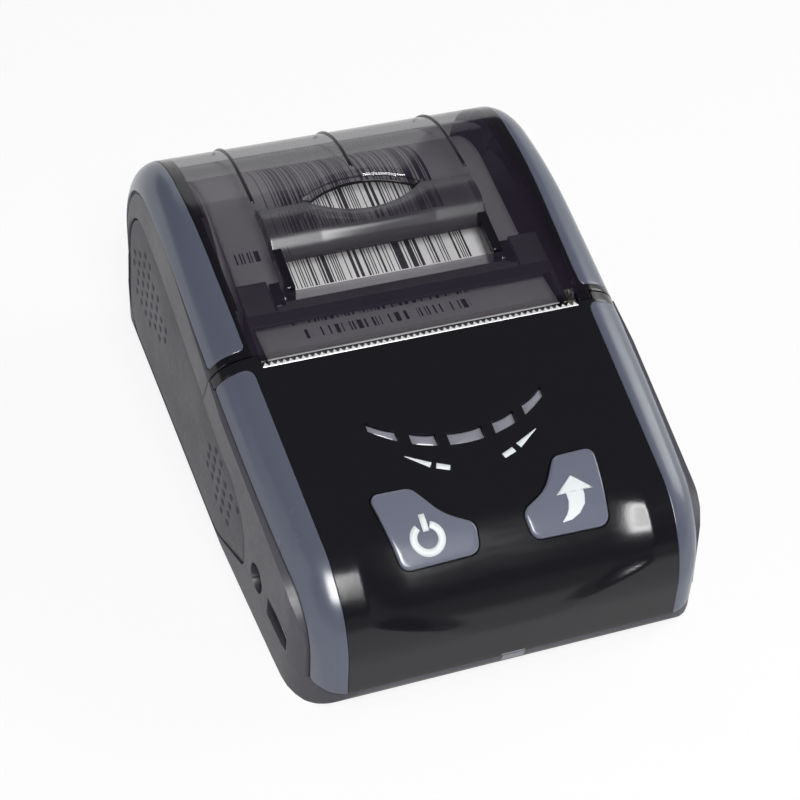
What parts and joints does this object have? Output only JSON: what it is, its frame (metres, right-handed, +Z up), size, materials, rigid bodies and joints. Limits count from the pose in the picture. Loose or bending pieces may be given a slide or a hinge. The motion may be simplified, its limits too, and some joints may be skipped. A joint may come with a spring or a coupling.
{
  "type": "portable thermal printer",
  "caption": "Pocket thermal receipt printer with a smoked flip-up lid over the paper roll, a tear bar, sloping panel with two keys and five status windows.",
  "frame": {"origin": "middle of the flat base", "axes": "+X to the right seen from the front, +Y from the front to the hinge at the back, +Z up"},
  "size_m": [0.0802, 0.119, 0.0457],
  "materials": {
    "shell": "fine satin",
    "gloss_black": "polished",
    "trim_grey": "fine satin",
    "grip_grey": "dotted satin",
    "smoke": "polished smoked clear plastic",
    "button_grey": "soft gloss",
    "lens_grey": "diffuse window",
    "steel": "brushed",
    "bright_steel": "bright",
    "aluminium": "brushed",
    "ceramic": "matt",
    "brass": "plain",
    "circuit": "satin",
    "cable": "satin",
    "black_plastic": "satin",
    "gear_white": "satin",
    "bush_tan": "satin",
    "rubber": "matt",
    "foot_rubber": "matt",
    "paper": "coated",
    "card": "plain",
    "battery": "shrink film"
  },
  "bodies": {
    "housing": {"bottom_shell": "shell", "upper_shell": "shell", "front_cover": "gloss_black", "front_trim_left": "trim_grey", "front_trim_right": "trim_grey", "grip_panel_left": "grip_grey", "grip_panel_right": "grip_grey", "tear_bar": "bright_steel", "print_head": "ceramic", "head_heatsink": "aluminium", "head_springs": "steel", "head_cable": "cable", "mechanism_frame": "steel", "stepper_motor": "steel", "main_board": "circuit", "key_board": "circuit", "led_board": "circuit", "status_lenses": "lens_grey", "usb_socket": "steel", "dc_jack": "black_plastic", "paper_sensor": "black_plastic", "roll_cradle": "black_plastic", "battery_pack": "battery", "battery_contacts": "brass", "hinge_pin": "steel", "case_screws": "steel", "front_tab": "trim_grey", "rubber_feet": "foot_rubber", "paper_web": "paper"},
    "lid": {"lid_cover": "smoke", "lid_trim_left": "trim_grey", "lid_trim_right": "trim_grey", "lid_side_left": "shell", "lid_side_right": "shell", "platen_carrier": "black_plastic", "platen_bushes": "bush_tan", "printed_strip": "paper"},
    "lever": {"lid_lever": "smoke", "lever_pins": "steel"},
    "platen": {"platen_shaft": "steel", "platen_rubber": "rubber", "platen_gear": "gear_white"},
    "reduction": {"reduction_gear": "gear_white"},
    "pinion": {"motor_pinion": "brass"},
    "roll": {"paper_roll": "paper", "paper_core": "card"},
    "power_key": {"power_button": "button_grey"},
    "feed_key": {"feed_button": "button_grey"},
    "door": {"battery_door": "shell"}
  },
  "joints": [
    {"name": "lid_hinge", "type": "hinge", "parent": "housing", "child": "lid", "pos_m": [0, 0.0569, 0.0145], "axis": [-1, 0, 0], "range_deg": [0, 95]},
    {"name": "lever_lift", "type": "hinge", "parent": "lid", "child": "lever", "pos_m": [0, 0.006, 0.0376], "axis": [1, 0, 0], "range_deg": [0, 20], "stiffness_Nm_per_rad": 0.02, "springref_deg": -11.46},
    {"name": "platen_spin", "type": "hinge", "parent": "lid", "child": "platen", "pos_m": [0, -0.0053, 0.0303], "axis": [1, 0, 0], "continuous": true},
    {"name": "reduction_spin", "type": "hinge", "parent": "housing", "child": "reduction", "pos_m": [0.033, -0.0053, 0.02225], "axis": [1, 0, 0], "continuous": true},
    {"name": "pinion_spin", "type": "hinge", "parent": "housing", "child": "pinion", "pos_m": [0.034, -0.0005, 0.01065], "axis": [1, 0, 0], "continuous": true},
    {"name": "roll_spin", "type": "hinge", "parent": "housing", "child": "roll", "pos_m": [0, 0.036, 0.0216], "axis": [1, 0, 0], "continuous": true},
    {"name": "power_press", "type": "slide", "parent": "housing", "child": "power_key", "axis": [0, 0.4067, -0.9135], "range_m": [0, 0.0008], "stiffness_N_per_m": 1500, "springref_m": -0.0005},
    {"name": "feed_press", "type": "slide", "parent": "housing", "child": "feed_key", "axis": [0, 0.4067, -0.9135], "range_m": [0, 0.0008], "stiffness_N_per_m": 1500, "springref_m": -0.0005},
    {"name": "battery_door_hinge", "type": "hinge", "parent": "housing", "child": "door", "pos_m": [0, -0.0164, 0.0015], "axis": [1, 0, 0], "range_deg": [0, 70]}
  ],
  "couplings": [
    {"joint": "platen_spin", "follows": "roll_spin", "ratio": 4.5},
    {"joint": "reduction_spin", "follows": "roll_spin", "ratio": -5.7857},
    {"joint": "pinion_spin", "follows": "roll_spin", "ratio": 23.143}
  ]
}
